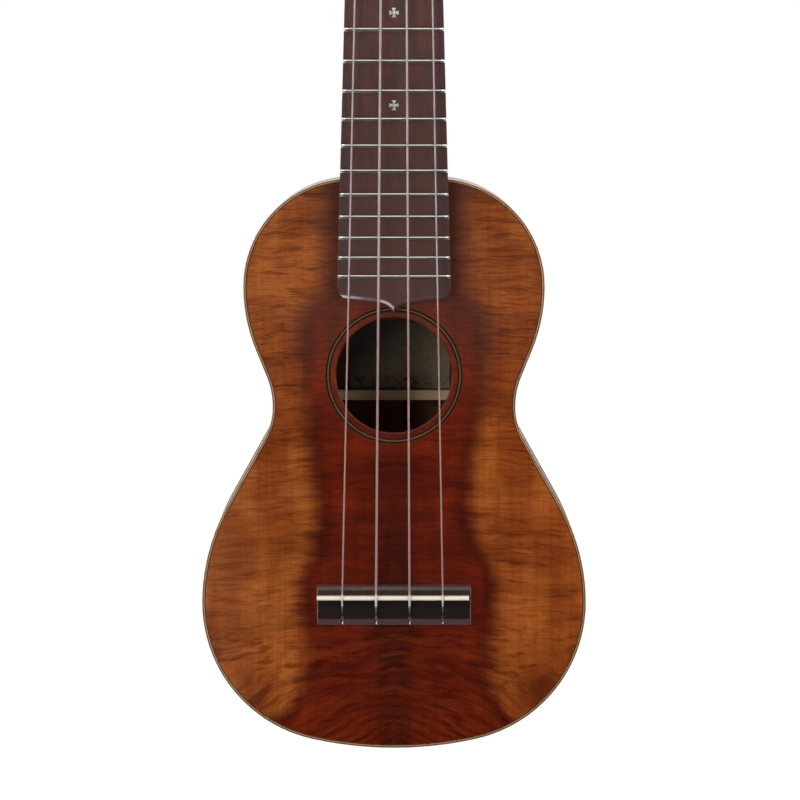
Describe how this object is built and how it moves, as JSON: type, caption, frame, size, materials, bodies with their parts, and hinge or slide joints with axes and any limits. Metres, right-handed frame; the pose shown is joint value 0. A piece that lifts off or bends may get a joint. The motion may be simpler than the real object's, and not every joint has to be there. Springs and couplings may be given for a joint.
{
  "type": "soprano ukulele",
  "caption": "Small four-course lute-shaped instrument with a waisted glossy wooden body, round soundhole, fretted neck and friction pegs.",
  "frame": {"origin": "lowest point of the tail, on the centre line, halfway between the soundboard's and the back's outer faces; a stand's cradle takes it here", "axes": "+Z from the tail to the headstock, -Y out of the soundboard, +X to the right seen from the front"},
  "size_m": [0.1578, 0.0676, 0.518],
  "materials": {
    "koa_top": "figured koa under a clear gloss lacquer, darker along the middle",
    "koa_body": "figured koa under a clear gloss lacquer",
    "edge_dark": "dark wood strip under gloss lacquer",
    "edge_light": "pale wood strip under gloss lacquer",
    "rosette_dark": "dark inlay under gloss lacquer",
    "rosette_light": "olive brown inlay under gloss lacquer",
    "neck_wood": "straight grained mahogany, satin lacquer",
    "headplate_koa": "figured koa veneer, gloss lacquer",
    "rosewood": "oiled rosewood",
    "fret_metal": "polished nickel silver",
    "pearl": "mother-of-pearl",
    "bone": "polished bone",
    "string_nylon": "translucent nylon",
    "inner_wood": "bare spruce and mahogany",
    "paper": "matte paper",
    "peg_metal": "polished nickel plate",
    "peg_plastic": "ivory-coloured plastic"
  },
  "bodies": {
    "instrument": {"back_binding": "edge_dark", "back_left": "koa_body", "back_lining_left": "inner_wood", "back_lining_right": "inner_wood", "back_right": "koa_body", "bridge": "rosewood", "bridge_patch": "inner_wood", "fretboard": "rosewood", "frets": "fret_metal", "headplate": "headplate_koa", "heel_cap": "neck_wood", "label": "paper", "lower_back_brace": "inner_wood", "lower_top_brace": "inner_wood", "middle_back_brace": "inner_wood", "neck": "neck_wood", "neck_block": "inner_wood", "neck_dowels": "neck_wood", "nut": "bone", "peg_back_bushes": "peg_metal", "peg_ferrules": "peg_metal", "position_markers": "pearl", "rib_left": "koa_body", "rib_right": "koa_body", "rosette_inner_dark_ring": "rosette_dark", "rosette_light_ring": "rosette_light", "rosette_outer_dark_ring": "rosette_dark", "saddle": "bone", "soundboard_left": "koa_top", "soundboard_right": "koa_top", "string_a": "string_nylon", "string_c": "string_nylon", "string_e": "string_nylon", "string_g": "string_nylon", "string_knots": "string_nylon", "tail_block": "inner_wood", "top_binding": "edge_dark", "top_dark_line": "edge_dark", "top_light_line": "edge_light", "top_lining_left": "inner_wood", "top_lining_right": "inner_wood", "upper_back_brace": "inner_wood", "upper_top_brace": "inner_wood"},
    "peg_g": {"peg_post_g": "peg_metal", "peg_button_g": "peg_plastic", "peg_screw_g": "peg_metal", "winding_g": "string_nylon"},
    "peg_c": {"peg_post_c": "peg_metal", "peg_button_c": "peg_plastic", "peg_screw_c": "peg_metal", "winding_c": "string_nylon"},
    "peg_e": {"peg_post_e": "peg_metal", "peg_button_e": "peg_plastic", "peg_screw_e": "peg_metal", "winding_e": "string_nylon"},
    "peg_a": {"peg_post_a": "peg_metal", "peg_button_a": "peg_plastic", "peg_screw_a": "peg_metal", "winding_a": "string_nylon"}
  },
  "joints": [
    {"name": "peg_g_turn", "type": "hinge", "parent": "instrument", "child": "peg_g", "pos_m": [-0.016, -0.02338, 0.45108], "axis": [0, -0.9848, 0.1736], "continuous": true},
    {"name": "peg_c_turn", "type": "hinge", "parent": "instrument", "child": "peg_c", "pos_m": [-0.019, -0.01643, 0.49048], "axis": [0, -0.9848, 0.1736], "continuous": true},
    {"name": "peg_e_turn", "type": "hinge", "parent": "instrument", "child": "peg_e", "pos_m": [0.019, -0.01643, 0.49048], "axis": [0, -0.9848, 0.1736], "continuous": true},
    {"name": "peg_a_turn", "type": "hinge", "parent": "instrument", "child": "peg_a", "pos_m": [0.016, -0.02338, 0.45108], "axis": [0, -0.9848, 0.1736], "continuous": true}
  ]
}
